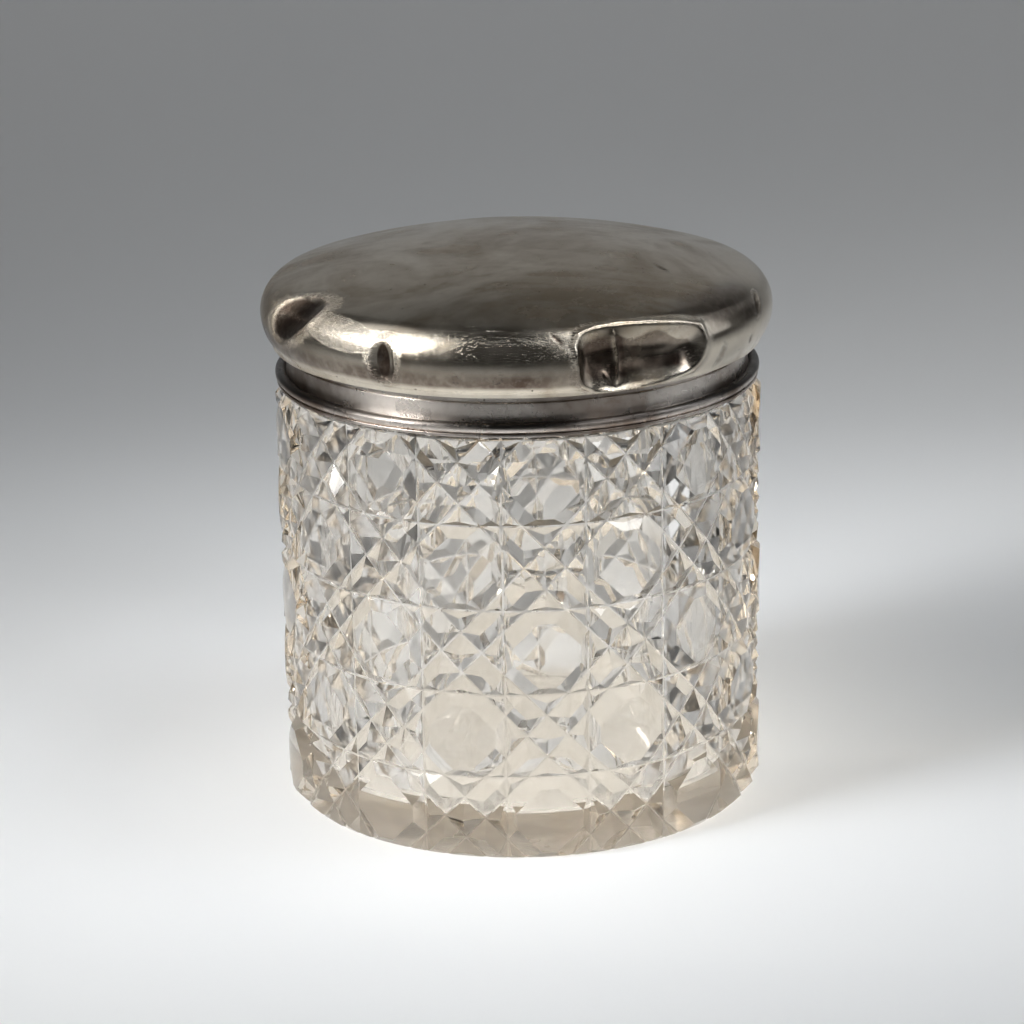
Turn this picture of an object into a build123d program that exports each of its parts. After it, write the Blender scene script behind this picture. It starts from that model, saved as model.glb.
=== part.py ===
from build123d import *
import math
import os

# Powder jar: a cut-glass jar with a silver collar bedded round its neck, and a hollow
# domed silver lid that slips down over the collar.
# Millimetres, +Z up, origin at the centre of the base, on the surface the jar stands on.
# Azimuth 0 points along -Y and grows towards +X; one upright cut lies at azimuth 0.

# Glass jar
GLASS_RADIUS = 40.0
SHOULDER_Z = 70.1
NECK_RADIUS = 36.0
MOUTH_RADIUS = 32.0
LIP_Z = 79.0
LIP_ROUND = 1.4
CAVITY_RADIUS = 33.0
CAVITY_TOP_Z = 64.0
FLOOR_Z = 5.8
FLOOR_CORNER = 1.8

# Cut pattern: square cells, alternately an octagonal button and a four-pointed star.
# Every cut is a V of one depth. Sizes along the cuts are in cells, depths in millimetres.
COLUMNS = 18
CELL_ANGLE = 360 / COLUMNS
CELL_HEIGHT = 13.94
LOWEST_CUT_Z = -0.3
CUT_DEPTH = 1.5
GRID_CUT_HALF_WIDTH = 1.45 / CELL_HEIGHT
DIAGONAL_CUT_HALF_WIDTH = 2.5 / CELL_HEIGHT
DIAGONAL_SHIFT = 0.25
TINY = 1e-7
LEVEL_TOLERANCE = 1e-5
ANGLE_PLACES = 4

# Collar: a thin sleeve round the neck with a half-round bead at its foot
PLASTER_THICKNESS = 0.72
PLASTER_TOP_Z = 78.0
SLEEVE_THICKNESS = 0.5
SLEEVE_TOP_Z = 78.6
SLEEVE_TOP_ROUND = 0.22
SLEEVE_RADIUS = NECK_RADIUS + PLASTER_THICKNESS + SLEEVE_THICKNESS
BEAD_RADIUS = 0.9
BEAD_CENTRE_RADIUS = 38.85
BEAD_CENTRE_Z = 71.5
LEDGE_Z = 71.8
FOOT_RADIUS = 39.5
FOOT_HEIGHT = 0.55

# Lid: a raised dome, an under-ring that closes its rim, and the bezel that slips on
SLIP_CLEARANCE = 0.08
BEZEL_RADIUS = 37.9
BEZEL_BAND_TOP_Z = 75.2
BEZEL_NECK_RADIUS = 37.6
BEZEL_TOP_Z = 77.1
UNDERRING_RADIUS = 38.85
UNDERRING_THICKNESS = 0.55
RIM_Z = 76.5
LID_RADIUS = 42.0
CROWN_Z = 93.15
CROWN_ROUND = 129.0
SHOULDER_ROUND = 6.0
UNDERCUT_ROUND = 7.5
SHEET = 0.6

# Dents in the dome's side: azimuth, height, half width, half height, depth, tilt
DENT_FACE_RADIUS = 42.0
DENT_LEAN = 20.0
DENTS = (
    (-54.5, 85.0, 5.0, 2.6, 2.6, 35),
    (-25.0, 81.3, 1.4, 3.4, 0.9, 0),
    (32.5, 82.1, 11.5, 4.5, 2.8, 0),
    (71.5, 84.3, 1.6, 2.4, 0.9, 0),
)


def turned(*edges):
    """Turn a closed profile, drawn as radius and height, about the jar's axis."""
    return revolve(Plane.XZ * make_face(list(edges)), Axis.Z)


def turned_polygon(*corners):
    return turned(Polyline(*corners, close=True))


def clip(polygon, line):
    """Keep the part of a convex polygon where a*x + b*y + c is not negative."""
    a, b, c = line
    kept = []
    for start, end in zip(polygon, polygon[1:] + polygon[:1]):
        at_start = a * start[0] + b * start[1] + c
        at_end = a * end[0] + b * end[1] + c
        if at_start > -TINY:
            kept.append(start)
        if min(at_start, at_end) < -TINY and max(at_start, at_end) > TINY:
            share = at_start / (at_start - at_end)
            kept.append(tuple(s + share * (e - s) for s, e in zip(start, end)))
    return kept


def area(polygon):
    pairs = zip(polygon, polygon[1:] + polygon[:1])
    return sum(x0 * y1 - x1 * y0 for (x0, y0), (x1, y1) in pairs) / 2


def cut_wall(line, polygon):
    """Depth plane of the wall, on the polygon's side, of the V cut along a line."""
    a, b, c, half_width = line
    x, y = (sum(axis) / len(polygon) for axis in zip(*polygon))
    side = math.copysign(1, a * x + b * y + c)
    slope = -side * CUT_DEPTH / half_width / math.hypot(a, b)
    return (slope * a, slope * b, CUT_DEPTH + slope * c)


def cell_facets(octagon, lowest, highest):
    """Flat facets of one cell, as (outline, depth plane), in cell units from its corner."""
    grid = [(1, 0, 0), (1, 0, -1), (0, 1, 0), (0, 1, -1)]
    shift = DIAGONAL_SHIFT
    if octagon:
        diagonals = [(1, 1, -shift), (1, 1, shift - 2), (1, -1, shift - 1), (1, -1, 1 - shift)]
    else:
        diagonals = [(1, 1, shift - 1), (1, 1, -1 - shift), (1, -1, -shift), (1, -1, shift)]
    bends = [(1, 0, -quarter / 4) for quarter in (1, 2, 3)]
    pieces = [[(0, lowest), (1, lowest), (1, highest), (0, highest)]]
    for a, b, c in diagonals + bends:
        halves = [clip(piece, side) for piece in pieces for side in ((a, b, c), (-a, -b, -c))]
        pieces = [half for half in halves if area(half) > TINY]
    cuts = [(*line, GRID_CUT_HALF_WIDTH) for line in grid]
    cuts += [(*line, DIAGONAL_CUT_HALF_WIDTH) for line in diagonals]
    facets = []
    for piece in pieces:
        planes = [cut_wall(cut, piece) for cut in cuts] + [(0, 0, 0)]
        for plane in planes:
            region = piece
            for other in planes:
                region = clip(region, [p - q for p, q in zip(plane, other)])
                if area(region) < TINY:
                    break
            else:
                facets.append((region, plane))
    return facets


def on_glass(column, row, point, plane):
    """Place a point of a cell's facet on the round glass."""
    x, y = point
    radius = GLASS_RADIUS - (plane[0] * x + plane[1] * y + plane[2])
    angle = math.radians((column + x) * CELL_ANGLE)
    height = LOWEST_CUT_Z + (row + y) * CELL_HEIGHT
    return (radius * math.sin(angle), -radius * math.cos(angle), height)


def cut_block():
    """The glass body as one solid block, with every facet of the cut pattern."""
    rows = math.ceil((SHOULDER_Z - LOWEST_CUT_Z) / CELL_HEIGHT)
    base = -LOWEST_CUT_Z / CELL_HEIGHT
    top = (SHOULDER_Z - LOWEST_CUT_Z) / CELL_HEIGHT
    faces = []
    ends = {0.0: {}, SHOULDER_Z: {}}
    for row in range(rows):
        lowest = max(0, base - row)
        highest = min(1, top - row)
        tiles = [cell_facets(octagon, lowest, highest) for octagon in (True, False)]
        for column in range(COLUMNS):
            for outline, plane in tiles[(column + row) % 2]:
                points = [on_glass(column, row, point, plane) for point in outline]
                for second, third in zip(points[1:-1], points[2:]):
                    faces.append(Face(Wire.make_polygon([points[0], second, third])))
                for level, ring in ends.items():
                    for x, y, z in points:
                        if abs(z - level) < LEVEL_TOLERANCE:
                            turn = math.degrees(math.atan2(y, x)) % 360
                            ring[round(turn, ANGLE_PLACES)] = (x, y, level)
    for ring in ends.values():
        faces.append(Face(Wire.make_polygon([ring[angle] for angle in sorted(ring)])))
    return Solid(Shell(faces))


def glass_jar():
    neck = turned_polygon((0, FLOOR_Z), (NECK_RADIUS, FLOOR_Z), (NECK_RADIUS, LIP_Z), (0, LIP_Z))
    wall = turned_polygon((0, FLOOR_Z), (CAVITY_RADIUS, FLOOR_Z), (CAVITY_RADIUS, CAVITY_TOP_Z),
                          (MOUTH_RADIUS, SHOULDER_Z), (MOUTH_RADIUS, LIP_Z), (0, LIP_Z))
    floor_edge = wall.edges().filter_by(GeomType.CIRCLE).sort_by(Axis.Z)[0]
    wall = fillet(floor_edge, FLOOR_CORNER)
    neck -= wall
    neck = fillet(neck.edges().filter_by(GeomType.CIRCLE).group_by(Axis.Z)[-1], LIP_ROUND)
    return (cut_block() - wall) + neck


def plaster_bed():
    outer = NECK_RADIUS + PLASTER_THICKNESS
    return turned_polygon((NECK_RADIUS, SHOULDER_Z), (outer, SHOULDER_Z),
                          (outer, PLASTER_TOP_Z), (NECK_RADIUS, PLASTER_TOP_Z))


def collar_sleeve():
    inner = SLEEVE_RADIUS - SLEEVE_THICKNESS
    sleeve = turned_polygon((inner, SHOULDER_Z), (SLEEVE_RADIUS, SHOULDER_Z),
                            (SLEEVE_RADIUS, SLEEVE_TOP_Z), (inner, SLEEVE_TOP_Z))
    return fillet(sleeve.edges().group_by(Axis.Z)[-1], SLEEVE_TOP_ROUND)


def collar_bead():
    foot_top = SHOULDER_Z + FOOT_HEIGHT
    foot = turned_polygon((SLEEVE_RADIUS, SHOULDER_Z), (FOOT_RADIUS, SHOULDER_Z),
                          (FOOT_RADIUS, foot_top), (SLEEVE_RADIUS, foot_top))
    ledge = turned_polygon((SLEEVE_RADIUS, SHOULDER_Z), (BEAD_CENTRE_RADIUS, SHOULDER_Z),
                           (BEAD_CENTRE_RADIUS, LEDGE_Z), (SLEEVE_RADIUS, LEDGE_Z))
    section = Plane.XZ * Pos(BEAD_CENTRE_RADIUS, BEAD_CENTRE_Z) * Circle(BEAD_RADIUS)
    return foot + ledge + revolve(section, Axis.Z)


def dome_solid(inset):
    """Solid under the dome sheet's outer face, drawn in by the inset."""
    shoulder_centre = LID_RADIUS - SHOULDER_ROUND
    reach = CROWN_ROUND - SHOULDER_ROUND
    crown_centre_z = CROWN_Z - CROWN_ROUND
    centre_z = crown_centre_z + math.sqrt(reach ** 2 - shoulder_centre ** 2)
    lean = math.asin(shoulder_centre / reach)
    undercut_centre = LID_RADIUS - UNDERCUT_ROUND
    crown = CROWN_ROUND - inset
    shoulder = SHOULDER_ROUND - inset
    undercut = UNDERCUT_ROUND - inset
    drop = math.asin((centre_z - RIM_Z) / undercut)

    def on_arc(centre, height, radius, angle):
        return (centre + radius * math.cos(angle), height + radius * math.sin(angle))

    top = (0, CROWN_Z - inset)
    crown_middle = on_arc(0, crown_centre_z, crown, math.pi / 2 - lean / 2)
    crown_end = on_arc(0, crown_centre_z, crown, math.pi / 2 - lean)
    shoulder_middle = on_arc(shoulder_centre, centre_z, shoulder, (math.pi / 2 - lean) / 2)
    widest = (LID_RADIUS - inset, centre_z)
    undercut_middle = on_arc(undercut_centre, centre_z, undercut, -drop / 2)
    rim = on_arc(undercut_centre, centre_z, undercut, -drop)
    return turned(
        ThreePointArc(top, crown_middle, crown_end),
        ThreePointArc(crown_end, shoulder_middle, widest),
        ThreePointArc(widest, undercut_middle, rim),
        Polyline(rim, (0, RIM_Z), top),
    )


def dent_block(dent, inset):
    """Solid that presses one dent into the dome, grown by the sheet's thickness inside."""
    azimuth, height, half_width, half_height, depth, tilt = dent
    round_block = scale(Sphere(1), by=(half_width + inset, depth + inset, half_height + inset))
    return (Rot(0, 0, azimuth) * Pos(0, -DENT_FACE_RADIUS, height)
            * Rot(-DENT_LEAN, 0, 0) * Rot(0, tilt, 0) * round_block)


def lid_dome():
    outer = dome_solid(0)
    inner = dome_solid(SHEET)
    for dent in DENTS:
        outer -= dent_block(dent, 0)
        inner -= dent_block(dent, SHEET)
    return outer - inner


def lid_underring():
    top = RIM_Z + UNDERRING_THICKNESS
    return turned_polygon((BEZEL_NECK_RADIUS, RIM_Z), (UNDERRING_RADIUS, RIM_Z),
                          (UNDERRING_RADIUS, top), (BEZEL_NECK_RADIUS, top))


def lid_bezel():
    inner = SLEEVE_RADIUS + SLIP_CLEARANCE
    step = BEZEL_RADIUS - BEZEL_NECK_RADIUS
    return turned_polygon((inner, LEDGE_Z), (BEZEL_RADIUS, LEDGE_Z),
                          (BEZEL_RADIUS, BEZEL_BAND_TOP_Z),
                          (BEZEL_NECK_RADIUS, BEZEL_BAND_TOP_Z + step),
                          (BEZEL_NECK_RADIUS, BEZEL_TOP_Z), (inner, BEZEL_TOP_Z))


PARTS = (glass_jar, plaster_bed, collar_sleeve, collar_bead, lid_dome, lid_underring, lid_bezel)

os.makedirs("parts", exist_ok=True)
for part in PARTS:
    export_step(part(), f"parts/{part.__name__}.step")
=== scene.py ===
import math

import bmesh
import bpy
from mathutils import Matrix, Vector, noise


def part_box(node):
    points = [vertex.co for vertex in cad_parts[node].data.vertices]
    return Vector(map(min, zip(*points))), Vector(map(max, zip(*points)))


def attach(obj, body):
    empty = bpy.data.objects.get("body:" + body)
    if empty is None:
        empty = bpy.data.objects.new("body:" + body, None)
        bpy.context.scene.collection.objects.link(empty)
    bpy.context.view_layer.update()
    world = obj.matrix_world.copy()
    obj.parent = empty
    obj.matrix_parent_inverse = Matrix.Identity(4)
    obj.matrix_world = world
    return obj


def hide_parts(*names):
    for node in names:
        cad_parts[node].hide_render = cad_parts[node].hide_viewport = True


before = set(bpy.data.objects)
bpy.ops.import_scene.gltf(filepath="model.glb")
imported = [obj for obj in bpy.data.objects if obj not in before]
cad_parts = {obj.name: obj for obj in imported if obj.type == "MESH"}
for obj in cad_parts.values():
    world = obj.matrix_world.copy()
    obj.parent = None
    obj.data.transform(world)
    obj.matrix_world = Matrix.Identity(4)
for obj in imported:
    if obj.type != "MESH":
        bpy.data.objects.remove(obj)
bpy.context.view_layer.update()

SEED = 7
noise.seed_set(SEED)         # noise_vector takes its shift from the clock if it isn't seeded

MM = 0.001
TAU = 2 * math.pi
TINY = 1e-7


def reach(node):
    """Radius, lowest and highest height of a round CAD node, in millimetres."""
    low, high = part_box(node)
    return (max(high.x, -low.x) / MM, low.z / MM, high.z / MM)


# ---------------------------------------------------------------- mesh helpers

def arc(centre, radius, start, end, steps):
    """Points of an arc of a profile, as (radius, height); angles are in degrees."""
    turn = [math.radians(start + (end - start) * i / steps) for i in range(steps + 1)]
    return [(centre[0] + radius * math.cos(a), centre[1] + radius * math.sin(a)) for a in turn]


def line(start, end, steps):
    """Points of a straight run of a profile."""
    share = [i / steps for i in range(steps + 1)]
    return [tuple(s + t * (e - s) for s, e in zip(start, end)) for t in share]


def joined(*runs):
    """One profile from several runs, without the points where they meet twice."""
    profile = []
    for point in [p for run in runs for p in run]:
        if not profile or math.dist(point, profile[-1]) > 1e-6:
            profile.append(point)
    return profile


def polar(radius, angle, height):
    """A point of the jar's frame in millimetres. Azimuth 0 is -Y and grows towards +X."""
    return Vector((radius * math.sin(angle), -radius * math.cos(angle), height))


def bridge(bm, first, second, count):
    """Faces between two rings of that many vertices; a ring of one vertex is a tip."""
    for i in range(count):
        j = (i + 1) % count
        corners = [first[i % len(first)], first[j % len(first)],
                   second[j % len(second)], second[i % len(second)]]
        bm.faces.new(list(dict.fromkeys(corners)))


def lathe(bm, profile, angles, place=polar, closed=False):
    """Rings of vertices for a profile turned about Z, joined by quads. Returns the rings."""
    rings = []
    for radius, height in profile:
        if radius < TINY:
            rings.append([bm.verts.new(place(0, 0, height) * MM)])
        else:
            rings.append([bm.verts.new(place(radius, a, height) * MM) for a in angles])
    for first, second in zip(rings, rings[1:] + rings[:1] if closed else rings[1:]):
        bridge(bm, first, second, len(angles))
    return rings


def evenly(count):
    """Azimuths of that many points spread evenly round the axis."""
    return [TAU * i / count for i in range(count)]


def piece(name, bm, body, slot, material, *nodes, crease=30):
    """Finish a mesh as a piece of the object that rides on a body."""
    bmesh.ops.recalc_face_normals(bm, faces=bm.faces)
    mesh = bpy.data.meshes.new(name)
    bm.to_mesh(mesh)
    bm.free()
    mesh.polygons.foreach_set("use_smooth", [True] * len(mesh.polygons))
    mesh.set_sharp_from_angle(angle=math.radians(crease))
    mesh.materials.append(material)
    obj = bpy.data.objects.new(name, mesh)
    bpy.context.scene.collection.objects.link(obj)
    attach(obj, body)
    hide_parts(*nodes)
    return obj


# ---------------------------------------------------------------- materials

class Nodes:
    """A material's node tree, with short calls for the nodes used here."""

    def __init__(self, name):
        self.material = bpy.data.materials.new(name)
        self.material.use_nodes = True
        self.tree = self.material.node_tree
        self.shader = self.tree.nodes["Principled BSDF"]
        self.output = self.tree.nodes["Material Output"]
        self.place = self.add("ShaderNodeTexCoord").outputs["Object"]

    def add(self, kind, **settings):
        node = self.tree.nodes.new(kind)
        for key, value in settings.items():
            setattr(node, key, value)
        return node

    def feed(self, socket, value):
        if isinstance(value, bpy.types.NodeSocket):
            self.tree.links.new(value, socket)
        else:
            socket.default_value = value

    def turned(self, rotation=(0, 0, 0), scale=(1, 1, 1)):
        """Object coordinates, turned (degrees) and stretched."""
        node = self.add("ShaderNodeMapping")
        self.feed(node.inputs["Vector"], self.place)
        node.inputs["Rotation"].default_value = [math.radians(r) for r in rotation]
        node.inputs["Scale"].default_value = scale
        return node.outputs[0]

    def height(self):
        """Height above the table, in metres."""
        split = self.add("ShaderNodeSeparateXYZ")
        self.feed(split.inputs[0], self.place)
        return split.outputs["Z"]

    def noise(self, size_mm, detail=3, rough=0.5, warp=0, vector=None):
        node = self.add("ShaderNodeTexNoise")
        self.feed(node.inputs["Vector"], vector or self.place)
        node.inputs["Scale"].default_value = 1 / (size_mm * MM)
        node.inputs["Detail"].default_value = detail
        node.inputs["Roughness"].default_value = rough
        node.inputs["Distortion"].default_value = warp
        return node.outputs["Fac"]

    def ramp(self, value, low, high, from_value=0.0, to_value=1.0):
        """Map low..high of a value smoothly onto from_value..to_value."""
        node = self.add("ShaderNodeMapRange", interpolation_type="SMOOTHSTEP")
        self.feed(node.inputs["Value"], value)
        for key, number in (("From Min", low), ("From Max", high),
                            ("To Min", from_value), ("To Max", to_value)):
            node.inputs[key].default_value = number
        return node.outputs["Result"]

    def math(self, operation, first, second=0.0):
        node = self.add("ShaderNodeMath", operation=operation)
        self.feed(node.inputs[0], first)
        self.feed(node.inputs[1], second)
        return node.outputs[0]

    def mix(self, share, first, second, blend="MIX"):
        node = self.add("ShaderNodeMix", data_type="RGBA", blend_type=blend)
        self.feed(node.inputs["Factor"], share)
        self.feed(node.inputs["A"], (*first, 1) if isinstance(first, tuple) else first)
        self.feed(node.inputs["B"], (*second, 1) if isinstance(second, tuple) else second)
        return node.outputs["Result"]

    def dots(self, cell_mm, radius_mm, share):
        """1 inside small round pits: one in each of that share of the cells."""
        node = self.add("ShaderNodeTexVoronoi")
        self.feed(node.inputs["Vector"], self.place)
        node.inputs["Scale"].default_value = 1 / (cell_mm * MM)
        near = self.ramp(node.outputs["Distance"], radius_mm / cell_mm, 0.4 * radius_mm / cell_mm)
        chosen = self.math("LESS_THAN", self.channel(node.outputs["Color"]), share)
        return self.math("MULTIPLY", near, chosen)

    def channel(self, colour):
        node = self.add("ShaderNodeSeparateColor")
        self.feed(node.inputs[0], colour)
        return node.outputs["Red"]

    def scratches(self, rotation, length_mm, width_mm, low, high):
        """1 along fine lines that run one way."""
        stretch = (1 / length_mm, 1 / width_mm, 1 / width_mm)
        streaks = self.noise(1, detail=2, vector=self.turned(rotation, stretch))
        return self.ramp(streaks, low, high)

    def bump(self, height, distance_mm, below=None):
        node = self.add("ShaderNodeBump")
        self.feed(node.inputs["Height"], height)
        node.inputs["Strength"].default_value = 1.0
        node.inputs["Distance"].default_value = distance_mm * MM
        if below is not None:
            self.feed(node.inputs["Normal"], below)
        return node.outputs[0]

    def surface(self, **inputs):
        for name, value in inputs.items():
            socket = self.shader.inputs[name.replace("_", " ").title().replace("Ior", "IOR")]
            value = (*value, 1) if isinstance(value, tuple) and len(value) == 3 else value
            self.feed(socket, value)
        return self.material


PIT_BLACK = (0.06, 0.05, 0.045)
# Dark brown: tarnish in the dents and the band, and painted shade on the right shoulder.
TARNISH_AND_SHADE_BROWN = (0.105, 0.072, 0.054)
# Painted shade for the dark gap under the lid's band.
PAINTED_SHADE_BLACK = (0.045, 0.04, 0.036)
SCRAPED_GREY = (0.12, 0.11, 0.10)

# Depths of the relief in silver, in millimetres.
WAVE_DEPTH = 0.05
GRAIN_DEPTH = 0.003
LINE_DEPTH = 0.022
PIT_DEPTH = 0.05


def tarnish_film(n, patches):
    """How much tarnish film: clouds that thicken between two noise levels, specks, and rubbed streaks."""
    clouds = n.ramp(n.noise(26, detail=4, rough=0.62, warp=0.6), *patches)
    specks = n.ramp(n.noise(2.2, detail=5, rough=0.7), 0.45, 0.75)
    film = n.math("ADD", clouds, n.math("MULTIPLY", specks, 0.25))
    along = n.turned((0, 0, 24), (1 / 30, 1 / 4, 1 / 4))
    rubbed = n.ramp(n.noise(1, detail=2, vector=along), 0.4, 0.7)
    return n.math("MULTIPLY", film, n.ramp(rubbed, 0, 1, 1, 0.72))


def hairlines(n):
    """Long fine scratches that run three ways."""
    hair = n.math("MAXIMUM", n.scratches((0, 0, 35), 9, 0.09, 0.64, 0.74),
                  n.scratches((20, 0, -50), 7, 0.07, 0.65, 0.75))
    return n.math("MAXIMUM", hair, n.scratches((0, 30, 80), 12, 0.1, 0.66, 0.76))


def stored(n, name):
    """A value that the mesh stores at its vertices."""
    return n.add("ShaderNodeAttribute", attribute_name=name).outputs["Fac"]


def silver(name, bright, tarnish, patches, roughness, dented=False, turned=0.0, shade_from=None):
    """Old silver: brown tarnish in clouds, rubbed streaks, fine scratches and pits.

    patches are the noise levels between which the tarnish thickens, and roughness its range.
    A dented mesh stores two values: stain, which is 1 where dark tarnish sits in the dents and in a band
    above the rim, and where tarnish patches also lay painted shade over the right shoulder's highlight,
    and scuff, which is 1 where the sheet is scratched most. turned is how strongly fine
    lines round the axis stretch the highlights up and down. shade_from is the height, in
    millimetres, above which painted shade darkens the metal, for the dark gap under the lid's band.
    """
    n = Nodes(name)
    film = tarnish_film(n, patches)
    colour = n.mix(film, bright, tarnish)
    pits = n.dots(2.6, 0.2, 0.22)
    colour = n.mix(n.math("MULTIPLY", pits, 0.8), colour, PIT_BLACK)
    satin = n.ramp(n.noise(7, detail=5, rough=0.65), 0.3, 0.7, *roughness)
    rough = n.math("ADD", satin, n.math("MULTIPLY", film, 0.08))
    cuts = n.math("MULTIPLY", hairlines(n), 0.28)
    if dented:
        mottle = n.ramp(n.noise(1.6, detail=4, rough=0.6), 0.25, 0.6, 0.78, 1.0)
        # The stored stain is tarnish, and painted shade where its patches dim the right shoulder's
        # highlight.
        colour = n.mix(n.math("MULTIPLY", stored(n, "stain"), mottle), colour, TARNISH_AND_SHADE_BROWN)
        scrapes = n.math("MAXIMUM", n.scratches((0, 10, 15), 2.6, 0.18, 0.5, 0.6),
                         n.scratches((30, 0, -60), 2.0, 0.16, 0.5, 0.6))
        scrapes = n.math("MULTIPLY", scrapes, stored(n, "scuff"))
        colour = n.mix(n.math("MULTIPLY", scrapes, 0.35), colour, SCRAPED_GREY)
        rough = n.math("ADD", rough, n.math("MULTIPLY", scrapes, 0.1))
        cuts = n.math("ADD", cuts, n.math("MULTIPLY", scrapes, 1.4))
    # Painted shade: above the given height the metal is darkened almost to black, for the dark gap under
    # the lid's band.
    if shade_from is not None:
        uneven = n.math("ADD", n.height(), n.math("MULTIPLY", n.noise(3, detail=3), 0.3 * MM))
        painted_shade = n.ramp(uneven, shade_from * MM, (shade_from + 0.4) * MM, 0.0, 0.88)
        colour = n.mix(painted_shade, colour, PAINTED_SHADE_BLACK)
    waves = n.bump(n.noise(6.5, detail=2, rough=0.45), WAVE_DEPTH)
    grain = n.bump(n.noise(0.35, detail=3, rough=0.6), GRAIN_DEPTH, waves)
    lines = n.bump(n.math("MULTIPLY", cuts, -1), LINE_DEPTH, grain)
    holes = n.bump(n.math("MULTIPLY", pits, -1), PIT_DEPTH, lines)
    if turned:
        round_axis = n.add("ShaderNodeTangent", direction_type="RADIAL").outputs[0]
        n.feed(n.shader.inputs["Tangent"], round_axis)
    return n.surface(base_color=colour, metallic=1.0, roughness=rough, normal=holes,
                     anisotropic=turned, anisotropic_rotation=0.25)


GLASS_INDEX = 1.53
GLASS_TINT = (0.89, 0.70, 0.42, 1)
TINT_DENSITY = 10            # per metre of glass
LAMP_LIGHT_LEFT = (0.87, 0.86, 0.84, 1)     # what the glass lets through of straight lamp light


def cut_glass():
    """Faintly tinted glass: a bloom of old powder on its inner face, a worn underside.

    Lamp light passes straight through it to what stands behind.
    """
    n = Nodes("cut_glass")
    split = n.add("ShaderNodeSeparateXYZ")
    n.feed(split.inputs[0], n.place)
    x, y, z = split.outputs
    radius = n.math("SQRT", n.math("ADD", n.math("MULTIPLY", x, x), n.math("MULTIPLY", y, y)))
    within = n.math("LESS_THAN", radius, INNER_FACE_LIMIT * MM)
    inner = n.math("MULTIPLY", within, n.math("GREATER_THAN", z, FLOOR_Z / 2 * MM))
    clouds = n.ramp(n.noise(11, detail=5, rough=0.65), 0.35, 0.7, 0.4, 1.0)
    bloom = n.math("MULTIPLY", inner, clouds)
    worn = n.math("MULTIPLY", n.math("LESS_THAN", z, 0.02 * MM),
                  n.ramp(n.noise(14, detail=3), 0.3, 0.7, 0.5, 1.0))
    haze = n.math("ADD", n.math("MULTIPLY", bloom, 0.07), n.math("MULTIPLY", worn, 0.22))
    smear = n.ramp(n.noise(9, detail=4, rough=0.6), 0.5, 0.8, 0.0, 0.03)
    veil = n.math("ADD", n.math("MULTIPLY", bloom, 0.12), n.math("MULTIPLY", worn, 0.12))
    clear = n.math("SUBTRACT", 1.0, veil)
    waves = n.bump(n.noise(3.5, detail=1), 0.012)
    glass = n.surface(base_color=(0.99, 0.985, 0.975), transmission_weight=clear, ior=GLASS_INDEX,
                      roughness=n.math("MAXIMUM", haze, smear), normal=waves)
    tint = n.add("ShaderNodeVolumeAbsorption")
    tint.inputs["Color"].default_value = GLASS_TINT
    tint.inputs["Density"].default_value = TINT_DENSITY
    n.feed(n.output.inputs["Volume"], tint.outputs[0])
    through = n.add("ShaderNodeBsdfTransparent")
    through.inputs["Color"].default_value = LAMP_LIGHT_LEFT
    lamp = n.add("ShaderNodeLightPath")
    both = n.add("ShaderNodeMixShader")
    n.feed(both.inputs[0], lamp.outputs["Is Shadow Ray"])
    n.feed(both.inputs[1], n.shader.outputs[0])
    n.feed(both.inputs[2], through.outputs[0])
    n.feed(n.output.inputs["Surface"], both.outputs[0])
    return glass


def plaster():
    """Old bedding plaster: mottled off-white with a gritty surface."""
    n = Nodes("bedding_plaster")
    mottle = n.mix(n.ramp(n.noise(1.5, detail=5), 0.35, 0.7), (0.78, 0.74, 0.66), (0.55, 0.48, 0.38))
    grain = n.bump(n.noise(0.3, detail=4, rough=0.7), 0.06)
    return n.surface(base_color=mottle, roughness=0.85, normal=grain)


def table_top():
    """A plain pale matt table."""
    n = Nodes("table_top")
    tone = n.mix(n.noise(90, detail=2), (0.80, 0.81, 0.81), (0.83, 0.835, 0.835))
    return n.surface(base_color=tone, roughness=0.6, specular_ior_level=0.2)


# ---------------------------------------------------------------- glass jar

GLASS_RADIUS, GLASS_FOOT_Z, LIP_Z = reach("glass_jar")
SHOULDER_Z = reach("collar_bead")[1]
NECK_RADIUS = 36.0
MOUTH_RADIUS = 32.0
CAVITY_RADIUS = 33.0
CAVITY_TOP_Z = 64.0
FLOOR_Z = 5.8
FLOOR_CORNER = 1.8
LIP_ROUND = 1.4
INNER_FACE_LIMIT = 35.5      # radius that parts the inner face from the cut face

COLUMNS = 18
CELL_HEIGHT = 13.94
LOWEST_CUT_Z = -0.3
CUT_DEPTH = 1.5
CUT_BOTTOM = 0.14            # half the width that polishing leaves at the bottom of a cut
GRID_CUT_HALF_WIDTH = 1.45 + CUT_BOTTOM
DIAGONAL_CUT_HALF_WIDTH = 2.5 + CUT_BOTTOM
DIAGONAL_SHIFT = 0.245       # of a cell, from its middle to each diagonal cut
BENDS = 8                    # flat strips that bend a cell round the jar


def clip(polygon, edge):
    """Keep the part of a convex polygon where a*x + b*y + c is not negative."""
    a, b, c = edge
    kept = []
    for start, end in zip(polygon, polygon[1:] + polygon[:1]):
        at_start = a * start[0] + b * start[1] + c
        at_end = a * end[0] + b * end[1] + c
        if at_start > -TINY:
            kept.append(start)
        if min(at_start, at_end) < -TINY and max(at_start, at_end) > TINY:
            share = at_start / (at_start - at_end)
            kept.append(tuple(s + share * (e - s) for s, e in zip(start, end)))
    return kept


def area(polygon):
    """Area of a polygon whose corners go round anticlockwise."""
    pairs = zip(polygon, polygon[1:] + polygon[:1])
    return sum(x0 * y1 - x1 * y0 for (x0, y0), (x1, y1) in pairs) / 2


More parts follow.
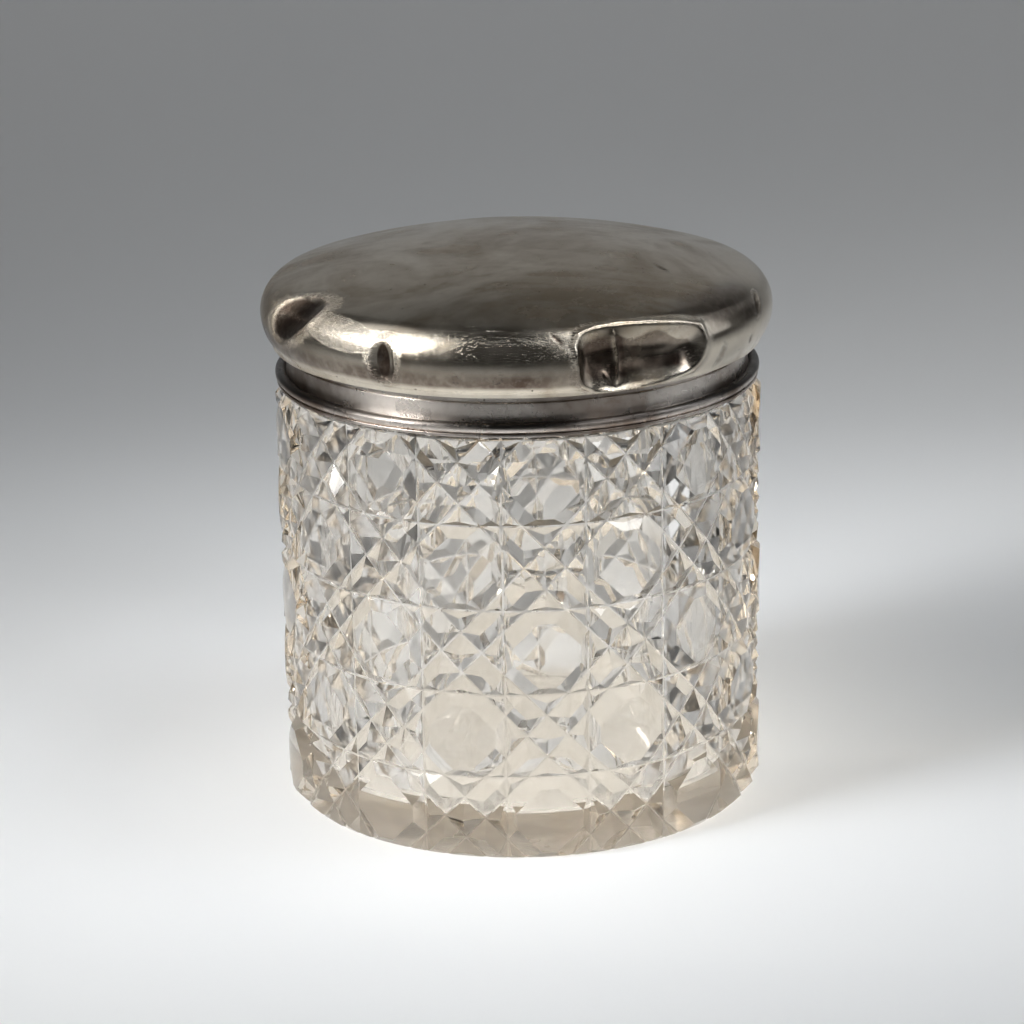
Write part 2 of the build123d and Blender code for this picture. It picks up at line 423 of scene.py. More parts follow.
def cut_wall(cut, polygon):
    """Depth plane of the wall, on the polygon's side, of the V cut along a line."""
    a, b, c, half_width = cut
    x, y = (sum(axis) / len(polygon) for axis in zip(*polygon))
    side = math.copysign(1, a * x + b * y + c)
    slope = CUT_DEPTH / (half_width - CUT_BOTTOM)
    fall = -side * slope * CELL_HEIGHT / math.hypot(a, b)
    return (fall * a, fall * b, slope * half_width + fall * c)


def cell_facets(octagon, lowest, highest):
    """Flat facets of one cell, as (outline, depth plane), in cell units from its corner."""
    shift = DIAGONAL_SHIFT
    grid = [(1, 0, 0), (1, 0, -1), (0, 1, 0), (0, 1, -1)]
    if octagon:
        diagonals = [(1, 1, -shift), (1, 1, shift - 2), (1, -1, shift - 1), (1, -1, 1 - shift)]
    else:
        diagonals = [(1, 1, shift - 1), (1, 1, -1 - shift), (1, -1, -shift), (1, -1, shift)]
    bends = [(1, 0, -i / BENDS) for i in range(1, BENDS)]
    pieces = [[(0, lowest), (1, lowest), (1, highest), (0, highest)]]
    for a, b, c in diagonals + bends:
        halves = [clip(outline, side) for outline in pieces for side in ((a, b, c), (-a, -b, -c))]
        pieces = [half for half in halves if area(half) > TINY]
    cuts = [(*edge, GRID_CUT_HALF_WIDTH) for edge in grid]
    cuts += [(*edge, DIAGONAL_CUT_HALF_WIDTH) for edge in diagonals]
    facets = []
    for outline in pieces:
        planes = [cut_wall(cut, outline) for cut in cuts] + [(0, 0, 0)]
        for plane in planes:
            region = outline
            for other in planes:
                region = clip(region, [p - q for p, q in zip(plane, other)])
                if area(region) < TINY:
                    break
            else:
                rise, run, depth = plane
                wall = clip(region, (-rise, -run, CUT_DEPTH - depth))
                bottom = clip(region, (rise, run, depth - CUT_DEPTH))
                facets.append((wall, plane))
                facets.append((bottom, (0, 0, CUT_DEPTH)))
    return [(outline, plane) for outline, plane in facets if area(outline) > TINY]


def hand_cut(point):
    """Small wander of the cutting wheel, in millimetres, as (round the jar, up, depth)."""
    slow = noise.noise_vector(point / 17)
    quick = noise.noise_vector(point / 6 + Vector((40, 0, 0)))
    return slow * 0.22 + quick * 0.10


def on_glass(column, row, point, plane):
    """Place a point of a cell's facet on the round glass, in millimetres."""
    x, y = point
    depth = plane[0] * x + plane[1] * y + plane[2]
    angle = (column + x) * TAU / COLUMNS
    height = LOWEST_CUT_Z + (row + y) * CELL_HEIGHT
    wander = hand_cut(polar(GLASS_RADIUS, angle, height))
    inside = min(1, (height - GLASS_FOOT_Z) / 2, (SHOULDER_Z - height) / 2)
    depth *= 1 + 0.35 * wander.z
    angle += wander.x / GLASS_RADIUS
    return polar(GLASS_RADIUS - depth, angle, height + wander.y * max(0, inside))


def zip_rings(bm, first, second):
    """Fill between two rings of vertices that lie in one plane, in order of azimuth."""
    def turn(vertex):
        return math.atan2(vertex.co.x, -vertex.co.y) % TAU

    first, second = sorted(first, key=turn), sorted(second, key=turn)
    i = j = 0
    while i < len(first) or j < len(second):
        a, b = first[i % len(first)], second[j % len(second)]
        next_a, next_b = first[(i + 1) % len(first)], second[(j + 1) % len(second)]
        angle_a = turn(next_a) + (TAU if i + 1 >= len(first) else 0)
        angle_b = turn(next_b) + (TAU if j + 1 >= len(second) else 0)
        if j >= len(second) or (i < len(first) and angle_a < angle_b):
            bm.faces.new((a, next_a, b))
            i += 1
        else:
            bm.faces.new((a, next_b, b))
            j += 1


def build_glass():
    """The cut outer face, then the neck, lip, bore and floor in one turned profile, and the underside."""
    bm = bmesh.new()
    base = (GLASS_FOOT_Z - LOWEST_CUT_Z) / CELL_HEIGHT
    top = (SHOULDER_Z - LOWEST_CUT_Z) / CELL_HEIGHT
    for row in range(math.ceil(top)):
        lowest, highest = max(0, base - row), min(1, top - row)
        tiles = [cell_facets(octagon, lowest, highest) for octagon in (True, False)]
        for column in range(COLUMNS):
            for outline, plane in tiles[(column + row) % 2]:
                points = [on_glass(column, row, point, plane) for point in outline]
                bm.faces.new([bm.verts.new(point * MM) for point in points])
    bmesh.ops.remove_doubles(bm, verts=bm.verts, dist=2e-6)
    edge = [v for v in bm.verts if v.is_boundary]
    foot = [v for v in edge if abs(v.co.z / MM - GLASS_FOOT_Z) < 0.01]
    shoulder = [v for v in edge if abs(v.co.z / MM - SHOULDER_Z) < 0.01]
    corner_z = FLOOR_Z + FLOOR_CORNER
    inner = joined(
        line((NECK_RADIUS, SHOULDER_Z), (NECK_RADIUS, LIP_Z - LIP_ROUND), 3),
        arc((NECK_RADIUS - LIP_ROUND, LIP_Z - LIP_ROUND), LIP_ROUND, 0, 90, 6),
        arc((MOUTH_RADIUS + LIP_ROUND, LIP_Z - LIP_ROUND), LIP_ROUND, 90, 180, 6),
        line((MOUTH_RADIUS, LIP_Z - LIP_ROUND), (MOUTH_RADIUS, SHOULDER_Z), 3),
        line((MOUTH_RADIUS, SHOULDER_Z), (CAVITY_RADIUS, CAVITY_TOP_Z), 3),
        line((CAVITY_RADIUS, CAVITY_TOP_Z), (CAVITY_RADIUS, corner_z), 8),
        arc((CAVITY_RADIUS - FLOOR_CORNER, corner_z), FLOOR_CORNER, 0, -90, 10),
        line((CAVITY_RADIUS - FLOOR_CORNER, FLOOR_Z), (0, FLOOR_Z), 6),
    )
    rings = lathe(bm, inner, evenly(192))
    zip_rings(bm, shoulder, rings[0])
    underside = lathe(bm, line((GLASS_RADIUS - 3, GLASS_FOOT_Z), (0, GLASS_FOOT_Z), 3), evenly(96))
    zip_rings(bm, foot, underside[0])
    return piece("cut_glass_jar", bm, "jar", "cut_glass", cut_glass(), "glass_jar", crease=7)


# ---------------------------------------------------------------- lid dome

CAD_LID_RADIUS, RIM_Z, CAD_CROWN_Z = reach("lid_dome")
LID_RADIUS = CAD_LID_RADIUS - 0.1       # the hammered sheet swells a little, and stays inside the CAD lid
CROWN_Z = CAD_CROWN_Z - 0.08
CROWN_ROUND = 129.0
SHOULDER_ROUND = 6.0
UNDERCUT_ROUND = 7.5
SHEET = 0.6
SHOULDER_CENTRE = LID_RADIUS - SHOULDER_ROUND
CROWN_CENTRE_Z = CROWN_Z - CROWN_ROUND
WIDEST_Z = CROWN_CENTRE_Z + math.sqrt((CROWN_ROUND - SHOULDER_ROUND) ** 2 - SHOULDER_CENTRE ** 2)
UNDERCUT_DROP = math.asin((WIDEST_Z - RIM_Z) / UNDERCUT_ROUND)
RIM_UP = -UNDERCUT_ROUND * UNDERCUT_DROP

# Steps of the dome's profile along its crown, shoulder and undercut.
CROWN_STEPS, SHOULDER_STEPS, UNDERCUT_STEPS = 46, 34, 28


def dome_profile():
    """The dome's outer face, as (radius, height, outward lean, distance up from its widest line)."""
    lean = math.asin(SHOULDER_CENTRE / (CROWN_ROUND - SHOULDER_ROUND))
    shoulder_turn = math.pi / 2 - lean
    profile = []
    for i in range(CROWN_STEPS):
        angle = lean * i / CROWN_STEPS
        length = SHOULDER_ROUND * shoulder_turn + CROWN_ROUND * (lean - angle)
        profile.append((CROWN_ROUND * math.sin(angle), CROWN_CENTRE_Z + CROWN_ROUND * math.cos(angle),
                        math.pi / 2 - angle, length))
    for i in range(SHOULDER_STEPS):
        angle = shoulder_turn * (1 - i / SHOULDER_STEPS)
        profile.append((SHOULDER_CENTRE + SHOULDER_ROUND * math.cos(angle),
                        WIDEST_Z + SHOULDER_ROUND * math.sin(angle), angle, SHOULDER_ROUND * angle))
    for i in range(UNDERCUT_STEPS + 1):
        angle = -UNDERCUT_DROP * i / UNDERCUT_STEPS
        profile.append((LID_RADIUS - UNDERCUT_ROUND + UNDERCUT_ROUND * math.cos(angle),
                        WIDEST_Z + UNDERCUT_ROUND * math.sin(angle), angle, UNDERCUT_ROUND * angle))
    return profile


def smooth(t):
    """0 below 0, 1 above 1, and an S-shaped rise between them."""
    t = min(1, max(0, t))
    return t * t * (3 - 2 * t)


def sweep_from(centre, azimuth):
    """Signed angle from one azimuth to another, the short way round."""
    return (azimuth - centre + math.pi) % TAU - math.pi


def hump(x, width):
    """1 at 0, falling smoothly away on both sides."""
    return math.exp(-(x / width) ** 2)


class Dent:
    """An oval dent: centre (azimuth in degrees, way up the profile), half sizes, tilt, depth.

    hollow is how soon its bowl curves in from the edge (2 is a plain round bowl), lip the
    height of the raised line round it, stain how dark the tarnish in it is, and core the
    part of its width that the tarnish fills.
    """

    SQUARENESS = 2.2         # of the outline: 2 is an ellipse, more is squarer
    REACH = 2.5              # half sizes from the middle beyond which it does nothing

    def __init__(self, azimuth, up, half_along, half_across, tilt, depth, lip, hollow, stain, core=0.9):
        self.azimuth, self.up = math.radians(azimuth), up
        self.half_along, self.half_across = half_along, half_across
        self.turn = math.radians(tilt)
        self.depth, self.lip, self.hollow, self.stain, self.core = depth, lip, hollow, stain, core

    def local(self, radius, azimuth, up):
        """Distance along and across the dent's long axis, in millimetres."""
        a, b = sweep_from(self.azimuth, azimuth) * radius, up - self.up
        c, s = math.cos(self.turn), math.sin(self.turn)
        return (a * c + b * s, b * c - a * s)

    def press(self, radius, azimuth, up):
        """Press of the sheet at a point, and how stained and how scuffed it is there."""
        along, across = self.local(radius, azimuth, up)
        long_share, cross_share = abs(along / self.half_along), abs(across / self.half_across)
        if max(long_share, cross_share) > self.REACH:
            return (0, 0, 0)
        p = self.SQUARENESS
        spread = (long_share ** p + cross_share ** p) ** (1 / p)
        bowl = 1 - min(1, spread) ** self.hollow
        ridge = self.lip * hump(spread - 1.06, 0.1)
        middle = math.hypot(long_share, cross_share / self.core)
        stain = self.stain * smooth((1.0 - middle) / 0.15)
        return (self.depth * bowl - ridge, stain, hump(spread - 1.15, 0.3))


# The two dents on the left, a crease and a nick on the right, then small marks on the side.
DENTS = (
    Dent(-56.2, 3.9, 6.8, 4.2, 33, 1.15, 0.12, hollow=2.2, stain=0.95, core=1.0),
    Dent(-25.5, -0.1, 3.3, 2.3, 93, 0.8, 0.05, hollow=2.8, stain=1.0, core=0.56),
    Dent(73.5, 3.0, 2.4, 1.0, 40, 0.5, 0.05, hollow=1.8, stain=0.85),
    Dent(65.0, 19.0, 1.5, 0.35, 60, 0.16, 0.03, hollow=1.6, stain=0.6),
    Dent(-8.8, -2.0, 0.8, 0.35, 90, 0.10, 0.02, hollow=1.8, stain=0.85),
    Dent(0.3, -1.8, 0.9, 0.45, 60, 0.08, 0.02, hollow=1.8, stain=0.7),
    Dent(13.2, 4.3, 1.3, 0.35, -50, 0.14, 0.03, hollow=1.8, stain=0.9),
    Dent(55.0, -2.6, 1.6, 0.7, 70, 0.05, 0.01, hollow=2.0, stain=0.6),
    Dent(67.4, -2.0, 0.6, 0.5, 90, 0.10, 0.02, hollow=1.8, stain=0.8),
)

# The big dent: corners of its outline from its centre, going round, and how far in from
# each side, in millimetres, the sheet takes to reach the dent's depth.
BIG_AZIMUTH = math.radians(32.7)
BIG_OUTLINE = ((-11.0, -2.4), (-11.3, 2.9), (-10.0, 4.9), (-7.0, 6.0), (-3.3, 6.4), (2.0, 5.7),
               (7.2, 4.6), (11.2, 3.2), (11.9, 0.6), (11.3, -2.0), (9.6, -3.9), (5.5, -5.0), (-8.3, -5.0))
BIG_WALLS = (3.0, 3.4, 4.0, 4.4, 4.4, 4.4, 4.4, 5.2, 5.2, 4.2, 3.8, 6.0, 4.6)
BIG_DEPTH = 3.0
BIG_HOLLOW = 2.5
SIDE_BLEND = 7.0             # how tightly the sides of the outline round into each other
BIG_REACH, BIG_TOP = 18, 12   # how far along, and how high, the big dent is felt
FOLD_AT = -4.4
FOLD_BOW = 0.25
FOLD_HEIGHT, FOLD_WIDTH = 0.6, 0.36
SKIRT_HEIGHT, SKIRT_WIDTH = 0.35, 1.4       # the low swelling that the fold stands on
FOOT_HEIGHT, FOOT_WIDTH = 0.3, 0.22         # the short crease that splays from the fold's foot
DARK_STRIP = 1.9             # width of the dark tarnish beside the fold


def outline_depth(along, up):
    """How far inside the big dent's outline: as a share of its walls, and in millimetres."""
    total, nearest = 0, 99
    corners = zip(BIG_OUTLINE, BIG_OUTLINE[1:] + BIG_OUTLINE[:1], BIG_WALLS)
    for (x0, y0), (x1, y1), wall in corners:
        inward = ((y1 - y0) * (along - x0) - (x1 - x0) * (up - y0)) / math.hypot(x1 - x0, y1 - y0)
        total += math.exp(-SIDE_BLEND * max(-3, inward / wall))
        nearest = min(nearest, inward)
    return (min(1, max(0, -math.log(total) / SIDE_BLEND + 0.06)), nearest)


def big_dent_press(point, along, up, gap, depth_in, nearest):
    """Press of the sheet: the bowl, the raised fold and its foot, and the crumpled floor right of it."""
    share = 1 - (1 - depth_in) ** BIG_HOLLOW
    right = smooth(0.5 + gap / 0.6)
    wrinkle = noise.noise(point / 4.0 + Vector((0, 7, 3)))
    crumple = right * (0.35 * wrinkle + 0.12 * math.sin(along / 1.3)) * smooth(nearest / 3)
    fold = FOLD_HEIGHT * math.exp(-abs(gap) / FOLD_WIDTH) + SKIRT_HEIGHT * hump(gap, SKIRT_WIDTH)
    foot_gap = gap + 1.1 + 0.6 * (up + 4.6)
    foot = FOOT_HEIGHT * math.exp(-abs(foot_gap) / FOOT_WIDTH) * smooth((-2.6 - up) / 1.2)
    ridge = (0.12 + 0.12 * smooth((up - 1) / 3)) * hump(nearest + 0.3, 0.42)
    return share * BIG_DEPTH - (fold + foot) * smooth(share * 1.5) + crumple - ridge


def big_dent_stain(along, up, gap, nearest):
    """Tarnish: dark left of the fold and beside it, brown to the right under a wavy pale edge."""
    left, right = smooth(0.5 - gap / 0.6), smooth(0.5 + gap / 0.6)
    pale_edge = 1.15 + 0.5 * math.sin(along / 1.45 + 2.4) + 0.3 * smooth((along - 5) / 4)
    under_pale = smooth((nearest - pale_edge) / 0.35) if up > 0 else smooth((nearest - 0.4) / 1.0)
    brown = 0.74 + 0.22 * smooth((DARK_STRIP - gap) / 0.4)
    brown *= 1 - 0.85 * smooth((-1.6 - up) / 1.2) * smooth((gap - DARK_STRIP) / 0.6)
    stain = left * 0.95 * smooth((nearest - 0.5) / 0.9) + right * brown * under_pale
    return stain * (1 - hump(gap + 0.1, 0.36))


def big_dent(point, radius, azimuth, up):
    """Press, stain and scuffing of the big dent, with the sharp fold that runs down across it."""
    along = sweep_from(BIG_AZIMUTH, azimuth) * radius
    if abs(along) > BIG_REACH or up > BIG_TOP:
        return (0, 0, 0)
    depth_in, nearest = outline_depth(along, up)
    gap = along - FOLD_AT - FOLD_BOW * math.cos(up / 4)
    press = big_dent_press(point, along, up, gap, depth_in, nearest)
    scuff = max(0.6 * hump(nearest + 0.9, 0.7), 0.2 * hump(gap, 0.3) * depth_in)
    return (press, big_dent_stain(along, up, gap, nearest), scuff)


# Tarnish that polishing never reached, in a band between the shoulder and the rubbed rim.
BAND_STAIN = 0.95
BAND_TOP = 0.6
BAND_FOOT = RIM_UP + 1.4
BAND_FADE = 1.2
CLEAN_FROM, CLEAN_TO = 43, 150    # azimuths between which the band has been rubbed away

# Fine scuffs: in a patch beside the left dents, and faintly all round the shoulder.
SCUFF_PATCH = Dent(-39, 3.6, 8.5, 3.0, -8, 0, 0, hollow=2.0, stain=1.0, core=1.0)
SHOULDER_SCUFF = 0.45
SCUFF_UP = 4.1

# Soft dark patches on the right shoulder, tarnish that also lays painted shade over the fill lamps'
# highlight there: azimuth and way up of the middle, half width in degrees, half height, stain.
TARNISH_AND_SHADE_PATCHES = ((60, 5.5, 17, 4.4, 0.82), (69, 2.3, 5.5, 1.3, 0.97))

# The rim turns down in a narrow lip, which is what handling has kept bright.
LIP_HEIGHT = 0.8
LIP_FLARE = 0.36


def tarnish_and_shade_patch(azimuth, up, patch):
    """Stain of one soft dark patch at a point: tarnish, and painted shade over the shoulder's highlight.
    """
    centre, middle, half_angle, half_height, stain = patch
    sweep = math.degrees(sweep_from(math.radians(centre), azimuth))
    return stain * math.exp(-(sweep / half_angle) ** 4 - ((up - middle) / half_height) ** 4)


def tarnish_band(azimuth, up):
    """Stain of the band above the rim at a point."""
    degrees = math.degrees(azimuth)
    rubbed = 0.85 * smooth((degrees - CLEAN_FROM) / 8) * smooth((CLEAN_TO - degrees) / 20)
    return BAND_STAIN * smooth((BAND_TOP - up) / 2.6) * smooth((up - BAND_FOOT) / BAND_FADE) * (1 - rubbed)


# Hand hammering: depth and length of its slow and quick waves, and the sink that keeps
# their crests inside the plain dome.
HAMMER_WAVES = ((0.13, 19), (0.03, 5))
HAMMER_SINK = 0.10


def hammered(point):
    """Press of the sheet by its uneven hammering."""
    return HAMMER_SINK + sum(depth * noise.noise(point / length) for depth, length in HAMMER_WAVES)


def lip(up):
    """How far the outer face stands out at the rim's lip."""
    return LIP_FLARE * max(0, 1 - (up - RIM_UP) / LIP_HEIGHT)


def pressed(radius, azimuth, height, up):
    """Press of the dome's sheet at a point, in millimetres, and its stain, with the patches of painted
    shade, and scuffing.
    """
    point = polar(radius, azimuth, height)
    parts = [dent.press(radius, azimuth, up) for dent in DENTS]
    parts.append(big_dent(point, radius, azimuth, up))
    press, stains, scuffs = zip(*parts)
    cloud = 0.9 + 0.3 * noise.noise(point / 8 + Vector((3, 0, 1)))
    band = cloud * tarnish_band(azimuth, up)
    # Patches of tarnish that also lay painted shade over the right shoulder's highlight.
    patch_stain_and_shade = max(tarnish_and_shade_patch(azimuth, up, patch) for patch in TARNISH_AND_SHADE_PATCHES)
    patch_stain_and_shade *= (0.4 + 0.6 * cloud) * (1 - scuffs[-1])
    rubbed = SCUFF_PATCH.press(radius, azimuth, up)[1]
    handled = SHOULDER_SCUFF * cloud * hump(up - SCUFF_UP, 0.8)
    return (hammered(point) + sum(press), max(*stains, band, patch_stain_and_shade), min(1, max(scuffs) + rubbed + handled))


# Stretches of azimuth and the mesh's step in each, in degrees, closer together over the dents.
DOME_SPANS = ((-180, -68, 1.0), (-68, -46, 0.4), (-46, -29, 0.8), (-29, -20.5, 0.25),
              (-20.5, 15, 0.45), (15, 24, 0.3), (24, 29.5, 0.13), (29.5, 50, 0.27),
              (50, 62, 0.5), (62, 78, 0.4), (78, 180, 1.0))


def dome_angles():
    """Azimuths for the dome's mesh."""
    angles = []
    for start, end, step in DOME_SPANS:
        count = round((end - start) / step)
        angles += [math.radians(start + (end - start) * i / count) for i in range(count)]
    return angles


def build_dome():
    """The dented dome: an outer and a coarser inner face of one sheet, joined at the rim."""
    bm = bmesh.new()
    # stain holds tarnish, and painted shade on the right shoulder.
    stain_layer = bm.verts.layers.float.new("stain")
    scuff_layer = bm.verts.layers.float.new("scuff")
    angles = dome_angles()
    outer, inner = [], []
    profile = dome_profile()
    for i, (radius, height, lean, up) in enumerate(profile):
        inner_too = i % 3 == 0 or i == len(profile) - 1
        outside, inside = [], []
        for angle in angles[:len(angles) if radius > TINY else 1]:
            press, stain, scuff = pressed(radius, angle, height, up)
            out, down = math.cos(lean), math.sin(lean)
            place = polar(radius + lip(up) - press * out, angle, height - press * down)
            vertex = bm.verts.new(place * MM)
            vertex[stain_layer] = stain
            vertex[scuff_layer] = scuff
            outside.append(vertex)
            if inner_too:
                depth = press + SHEET
                place = polar(radius - depth * out, angle, height - depth * down)
                inside.append(bm.verts.new(place * MM))
        outer.append(outside)
        if inner_too:
            inner.append(inside)
    rings = outer + inner[::-1]
    for first, second in zip(rings, rings[1:]):
        bridge(bm, first, second, len(angles))
    material = silver("lid_silver", bright=(0.745, 0.675, 0.565), tarnish=(0.41, 0.33, 0.235),
                      patches=(0.40, 0.66), roughness=(0.13, 0.24), dented=True)
    return piece("domed_lid", bm, "lid", "lid_silver", material, "lid_dome", crease=50)


# ---------------------------------------------------------------- collar and bezel

RING_STEPS = 360
SLIP_GAP = 0.08              # clearance between the bezel and the sleeve
BEAD_WOBBLE = 0.05


def out_of_true(radius, angle, height):
    """Place of a point on a thin handmade ring whose radius wanders slightly."""
    sway = noise.noise_vector(polar(radius, angle, height) / 23)
    return polar(radius + BEAD_WOBBLE * sway.x, angle, height)


def build_bead():
    """The collar's half-round moulding, with the thin strip at its foot."""
    outer, foot_z, top_z = reach("collar_bead")
    sleeve = reach("collar_sleeve")[0]
    ledge_z = reach("lid_bezel")[1]
    bead_round, strip_round = 0.9, 0.08
    bead = (outer - bead_round, top_z - bead_round)
    strip_radius, strip_z = outer - 0.25, foot_z + 0.5
    strip_centre = strip_radius - strip_round
    ledge_turn = math.asin((ledge_z - bead[1]) / bead_round)
    ledge_radius = bead[0] - bead_round * math.cos(ledge_turn)
    profile = joined(
        line((sleeve, foot_z), (strip_centre, foot_z), 4),
        arc((strip_centre, foot_z + strip_round), strip_round, -90, 0, 3),
        arc((strip_centre, strip_z - strip_round), strip_round, 0, 90, 3),
        line((strip_radius - 0.3, strip_z), (strip_radius - 0.42, strip_z + 0.06), 1),
        arc(bead, bead_round, -62, 180 - math.degrees(ledge_turn), 28),
        line((ledge_radius, ledge_z), (sleeve, ledge_z), 2),
    )
    bm = bmesh.new()
    lathe(bm, profile, evenly(RING_STEPS), out_of_true, closed=True)
    # The collar's top 0.7 mm gets painted shade for the gap under the lid's band.
    material = silver("collar_silver", bright=(0.66, 0.60, 0.55), tarnish=(0.24, 0.18, 0.14),
                      patches=(0.38, 0.62), roughness=(0.20, 0.32), turned=0.6, shade_from=top_z - 0.7)
    return piece("beaded_collar", bm, "jar", "collar_silver", material, "collar_bead", crease=35)


def build_bezel():
    """The lid's upright band, with a rounded foot, a slight swell and a step under the dome."""
    outer, foot_z, top_z = reach("lid_bezel")
    inner = reach("collar_sleeve")[0] + SLIP_GAP
    band_z = 75.2
    step = 0.3
    foot_round, edge_round = 0.1, 0.16
    waist = outer - 0.06
    profile = joined(
        line((inner, foot_z), (outer - foot_round, foot_z), 2),
        arc((outer - foot_round, foot_z + foot_round), foot_round, -90, 0, 3),
        line((outer, foot_z + foot_round), (waist, foot_z + 1.1), 4),
        line((waist, foot_z + 1.1), (outer, band_z - 0.35), 6),
        arc((outer - edge_round, band_z - edge_round), edge_round, 0, 80, 5),
        line((outer - step, band_z + 0.02), (outer - step, top_z), 4),
        line((outer - step, top_z), (inner, top_z), 1),
        line((inner, top_z), (inner, foot_z), 6),
    )[:-1]
    bm = bmesh.new()
    lathe(bm, profile, evenly(RING_STEPS), closed=True)
    material = silver("bezel_silver", bright=(0.72, 0.66, 0.60), tarnish=(0.30, 0.23, 0.18),
                      patches=(0.42, 0.66), roughness=(0.22, 0.34), turned=0.85)
    return piece("bezel_band", bm, "lid", "bezel_silver", material, "lid_bezel", crease=35)


def dress_hidden_nodes():
    """The CAD nodes that keep their shape get their own materials."""
    dull = silver("hidden_silver", bright=(0.56, 0.53, 0.49), tarnish=(0.22, 0.18, 0.14),
                  patches=(0.35, 0.6), roughness=(0.25, 0.4))
    for node, material in (("plaster_bed", plaster()), ("collar_sleeve", dull), ("lid_underring", dull)):
        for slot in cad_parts[node].material_slots:
            slot.material = material


# ---------------------------------------------------------------- studio

# The camera, in millimetres and degrees.
AIM_Z = 45.72
VIEW_SIDE = -1.28
VIEW_DISTANCE = 551.98
VIEW_AZIMUTH = 4.475
VIEW_PITCH = 17.577
VIEW_ROLL = -1.038
LENS = 116.27
SENSOR = 36

# The studio, in metres.
JAR_MIDDLE = Vector((0, 0, 0.05))
LAMP_DISTANCE = 0.6
TABLE_HALF_WIDTH = 3.0
TABLE_FRONT = -2.5
BEND_START, BEND_RADIUS = 0.22, 0.3
BACKDROP_TOP = 3.0
TABLE_DROP = 0.0001          # keeps the table clear of the jar's foot


def make_camera():
    """The camera, in front of the jar and looking slightly down on it."""
    data = bpy.data.cameras.new("camera")
    data.lens = LENS
    data.sensor_width = SENSOR
    data.clip_start = 0.01
    camera = bpy.data.objects.new("camera", data)
    bpy.context.scene.collection.objects.link(camera)
    pitch = math.radians(VIEW_PITCH)
    place = Vector((VIEW_SIDE, -VIEW_DISTANCE * math.cos(pitch),
                    AIM_Z + VIEW_DISTANCE * math.sin(pitch))) * MM
    spin = Matrix.Rotation(math.radians(VIEW_AZIMUTH), 4, "Z")
    tilt = Matrix.Rotation(math.pi / 2 - pitch, 4, "X")
    roll = Matrix.Rotation(math.radians(VIEW_ROLL), 4, "Z")
    camera.matrix_world = spin @ Matrix.Translation(place) @ tilt @ roll
    bpy.context.scene.camera = camera


def make_floor():
    """A pale table that sweeps up into the backdrop, far behind the jar."""
    bm = bmesh.new()
    profile = [(TABLE_FRONT, 0), (-0.6, 0), (0.0, 0)]
    profile += arc((BEND_START, BEND_RADIUS), BEND_RADIUS, -90, 0, 16)
    profile += [(BEND_START + BEND_RADIUS, BACKDROP_TOP)]
    ends = (-TABLE_HALF_WIDTH, TABLE_HALF_WIDTH)
    rows = [[bm.verts.new((x, y, z - TABLE_DROP)) for x in ends] for y, z in profile]
    for first, second in zip(rows, rows[1:]):
        bm.faces.new((first[0], first[1], second[1], second[0]))
    mesh = bpy.data.meshes.new("table")
    bm.to_mesh(mesh)
    bm.free()
    mesh.polygons.foreach_set("use_smooth", [True] * len(mesh.polygons))
    mesh.materials.append(table_top())
    table = bpy.data.objects.new("table", mesh)
    bpy.context.scene.collection.objects.link(table)


def area_light(name, place, aim, width, height, power, spread, colour):
    """A softbox at a place, facing a point, both in metres; spread is its grid's angle in degrees."""
    data = bpy.data.lights.new(name, "AREA")
    data.shape = "RECTANGLE"
    data.size, data.size_y = width, height
    data.energy = power
    data.color = colour
    data.spread = math.radians(spread)
    lamp = bpy.data.objects.new(name, data)
    bpy.context.scene.collection.objects.link(lamp)
    lamp.location = place
    lamp.rotation_mode = "QUATERNION"
    lamp.rotation_quaternion = (Vector(place) - Vector(aim)).to_track_quat("Z", "Y")


def around(azimuth, elevation):
    """A lamp's place round the jar's middle. Azimuth 0 is the camera's side, positive to its right."""
    a, e = math.radians(azimuth + VIEW_AZIMUTH), math.radians(elevation)
    way = Vector((math.sin(a) * math.cos(e), -math.cos(a) * math.cos(e), math.sin(e)))
    return JAR_MIDDLE + way * LAMP_DISTANCE


WHITE = (1.0, 1.0, 1.0)
COOL = (0.96, 1.0, 1.05)
BACK = (1.0, 1.01, 1.03)
BACK_LAMP = (0, 0.12, 0.8)

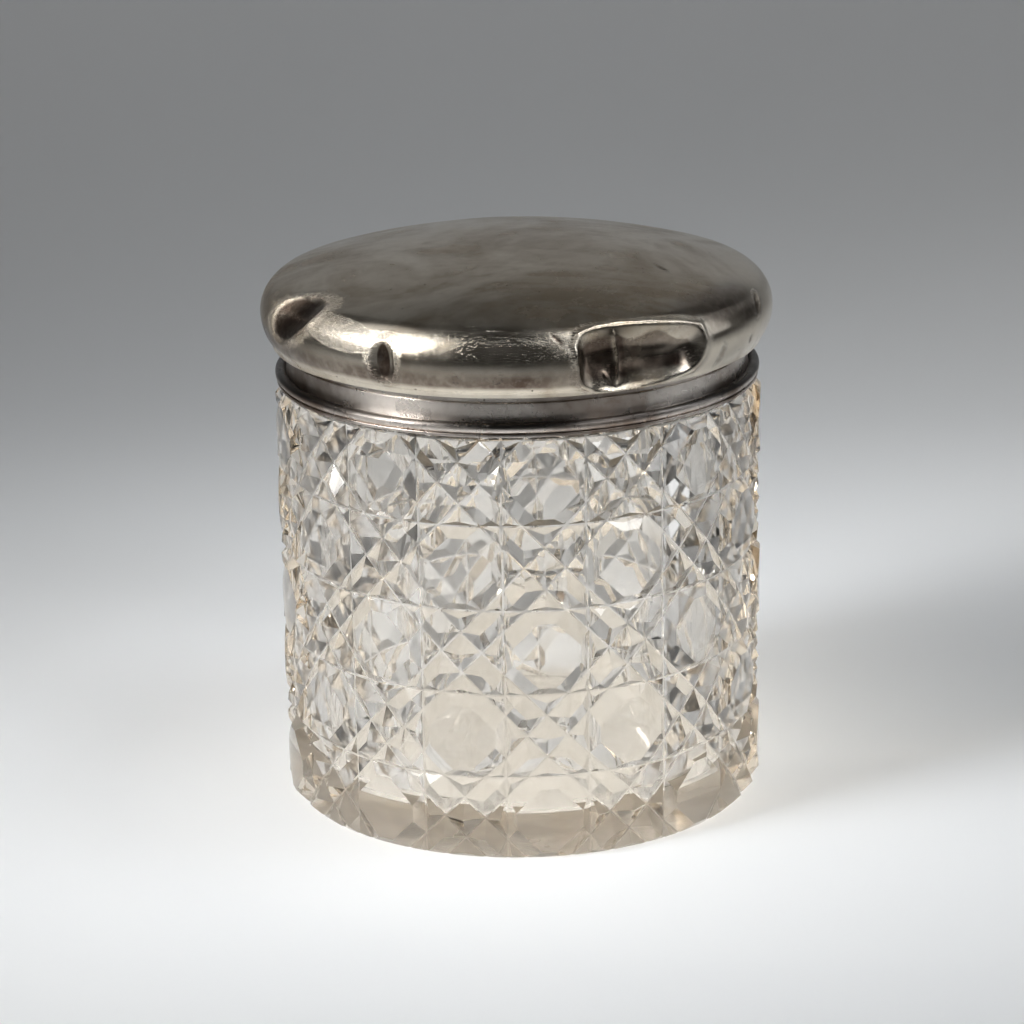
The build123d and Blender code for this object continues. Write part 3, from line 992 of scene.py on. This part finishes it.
# Softboxes: name, place, aim, width, height, watts, spread, colour.
LAMPS = (
    ("key_near", around(-60, 30), JAR_MIDDLE, 0.2, 0.2, 0.1275, 30, WHITE),
    ("key", around(-60, 30), JAR_MIDDLE, 0.2, 0.2, 0.042, 50, WHITE),
    ("key_high", around(-60, 45), JAR_MIDDLE, 0.2, 0.2, 0.019, 50, WHITE),
    ("key_side", around(-75, 30), JAR_MIDDLE, 0.2, 0.2, 0.089, 50, WHITE),
    ("table_left", around(-60, 45), (-0.06, -0.05, 0), 0.2, 0.2, 0.056, 50, WHITE),
    ("fill", around(80, 35), JAR_MIDDLE, 0.2, 0.2, 0.068, 70, COOL),
    ("fill_high", around(80, 65), JAR_MIDDLE, 0.2, 0.2, 0.122, 70, COOL),
    ("fill_glint", around(45, 35), JAR_MIDDLE, 0.22, 0.22, 0.032, 30, COOL),
    ("wash_left", around(-90, 50), JAR_MIDDLE, 0.4, 0.4, 0.36, 180, WHITE),
    ("wash_right", around(90, 20), JAR_MIDDLE, 0.3, 0.3, 0.25, 180, COOL),
    ("back_table", BACK_LAMP, (0, 0.35, 0), 0.7, 0.15, 0.048, 50, BACK),
    ("backdrop", BACK_LAMP, (0, 0.52, 0.3), 0.7, 0.15, 0.145, 50, BACK),
)


def make_light():
    """A dim room and soft lamps: the key on the left, fill on the right, two over the backdrop."""
    world = bpy.data.worlds.new("room")
    world.use_nodes = True
    background = world.node_tree.nodes["Background"]
    background.inputs["Color"].default_value = (1.0, 0.99, 0.98, 1)
    background.inputs["Strength"].default_value = 0.03
    bpy.context.scene.world = world
    for lamp in LAMPS:
        area_light(*lamp)


def set_look():
    """Plain colours, and enough bounces for light to get through the cut glass."""
    scene = bpy.context.scene
    scene.view_settings.view_transform = "Standard"
    scene.view_settings.look = "None"
    cycles = scene.cycles
    cycles.use_denoising = True
    cycles.max_bounces = 24
    cycles.transmission_bounces = 20
    cycles.transparent_max_bounces = 24
    cycles.glossy_bounces = 8
    cycles.sample_clamp_indirect = 6
    cycles.blur_glossy = 0.5


make_camera()
set_look()
make_floor()
make_light()
build_glass()
build_dome()
build_bead()
build_bezel()
dress_hidden_nodes()
